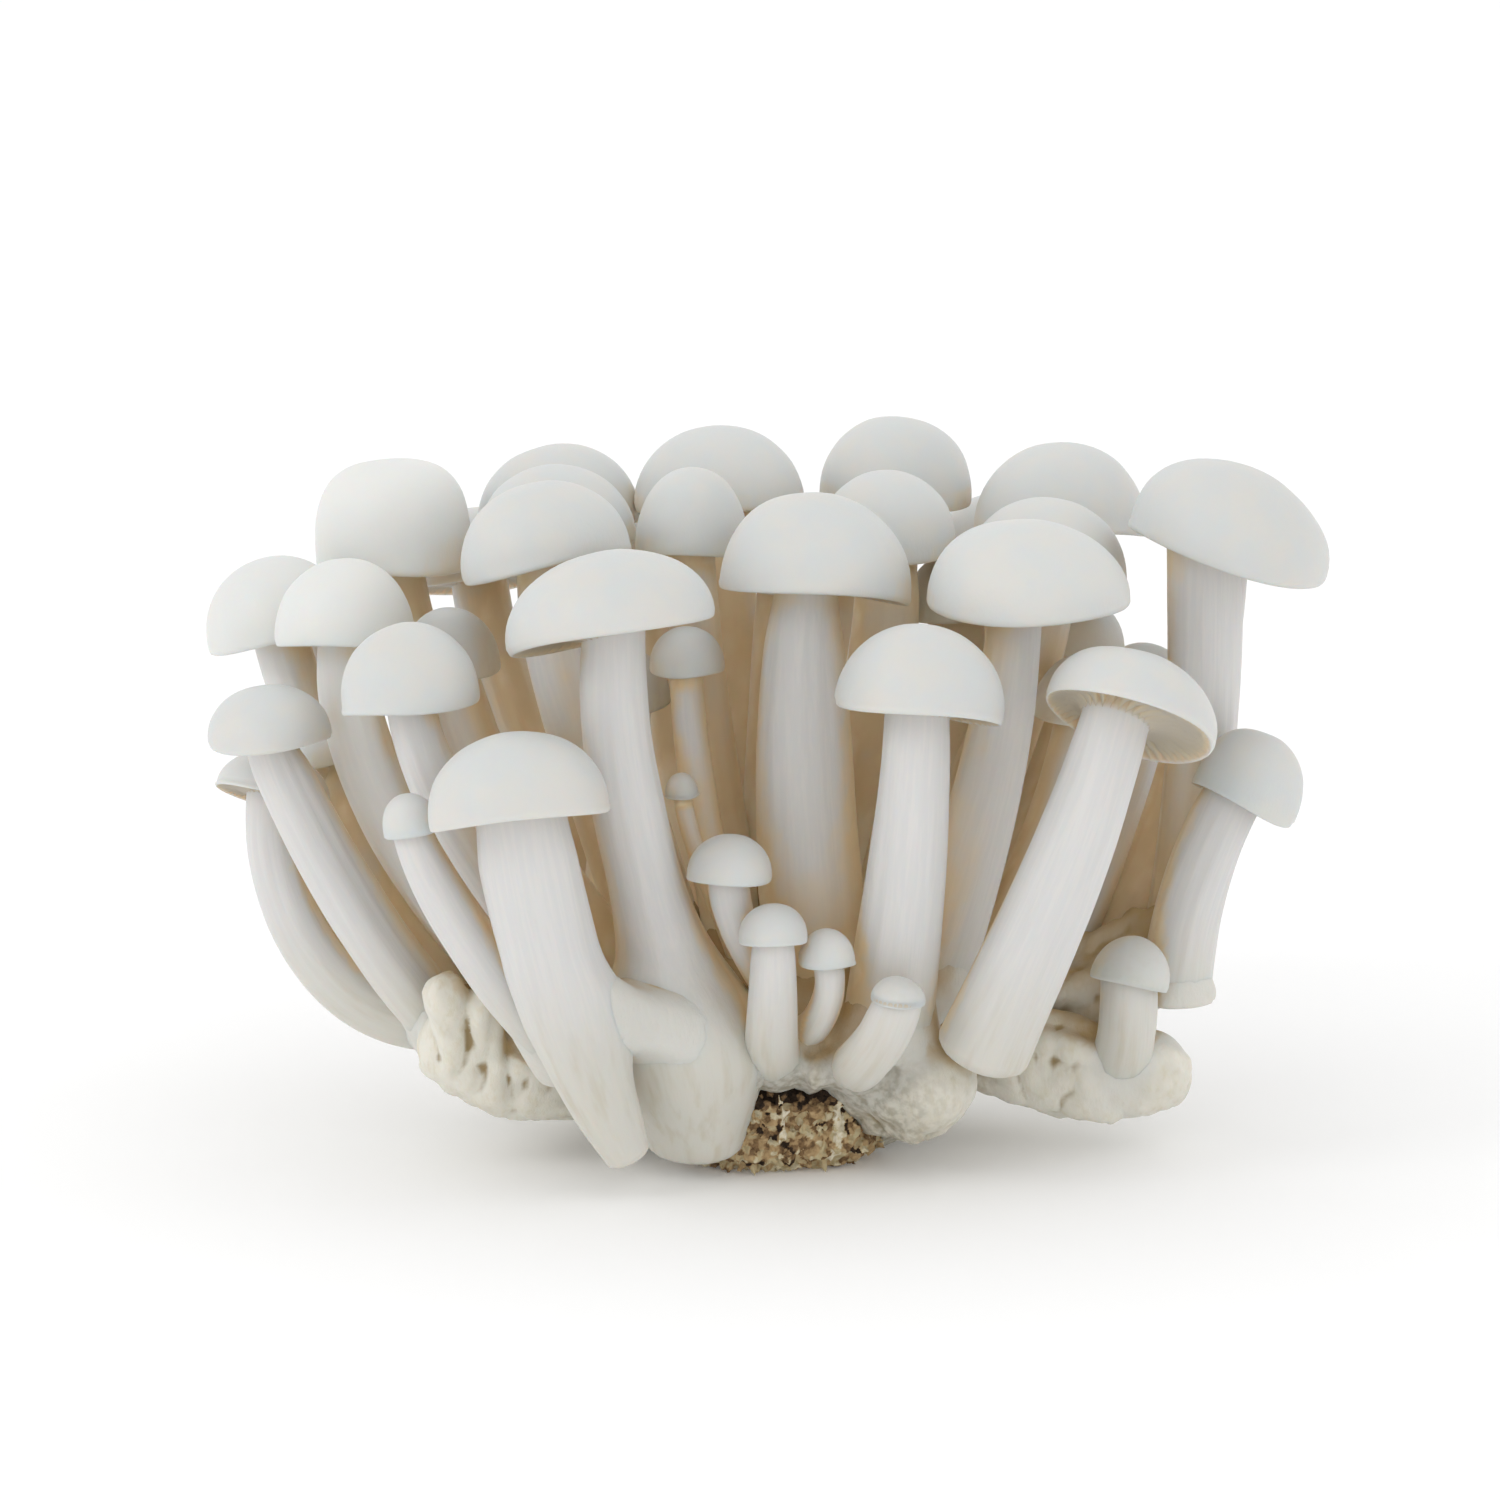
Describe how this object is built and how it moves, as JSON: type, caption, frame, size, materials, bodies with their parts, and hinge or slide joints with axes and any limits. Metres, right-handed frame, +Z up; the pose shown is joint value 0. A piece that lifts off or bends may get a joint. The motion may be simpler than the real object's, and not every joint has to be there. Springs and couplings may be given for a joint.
{
  "type": "white beech mushroom cluster",
  "caption": "Cluster of white beech mushrooms, small domed caps on long smooth stems that are fused at one foot, standing upright on its trimmed base with a remnant of growing medium.",
  "frame": {"origin": "middle of the flat underside that the cluster stands on", "axes": "+Z up, +X to the right along the cluster's broad side, which faces -Y, +Y to the back"},
  "size_m": [0.1117, 0.0925, 0.0706],
  "materials": {
    "mushroom": "smooth, moist satin",
    "base": "uneven, matte",
    "growing_medium": "crumbly, matte"
  },
  "bodies": {
    "root": {"mushroom_01": "mushroom", "mushroom_02": "mushroom", "mushroom_03": "mushroom", "mushroom_04": "mushroom", "mushroom_05": "mushroom", "mushroom_06": "mushroom", "mushroom_07": "mushroom", "mushroom_08": "mushroom", "mushroom_09": "mushroom", "mushroom_10": "mushroom", "mushroom_11": "mushroom", "mushroom_12": "mushroom", "mushroom_13": "mushroom", "mushroom_14": "mushroom", "mushroom_15": "mushroom", "mushroom_16": "mushroom", "mushroom_17": "mushroom", "mushroom_18": "mushroom", "mushroom_19": "mushroom", "mushroom_20": "mushroom", "mushroom_21": "mushroom", "mushroom_22": "mushroom", "mushroom_23": "mushroom", "mushroom_24": "mushroom", "mushroom_25": "mushroom", "mushroom_26": "mushroom", "mushroom_27": "mushroom", "mushroom_28": "mushroom", "mushroom_29": "mushroom", "mushroom_30": "mushroom", "mushroom_31": "mushroom", "mushroom_32": "mushroom", "mushroom_33": "mushroom", "mushroom_34": "mushroom", "mushroom_35": "mushroom", "mushroom_36": "mushroom", "mushroom_37": "mushroom", "mushroom_38": "mushroom", "mushroom_39": "mushroom", "mushroom_40": "mushroom", "mushroom_41": "mushroom", "mushroom_42": "mushroom", "mushroom_43": "mushroom", "mushroom_44": "mushroom", "mushroom_45": "mushroom", "mushroom_46": "mushroom", "mushroom_47": "mushroom", "mushroom_48": "mushroom", "mushroom_49": "mushroom", "mushroom_50": "mushroom", "base": "base", "growing_medium": "growing_medium"}
  },
  "joints": []
}
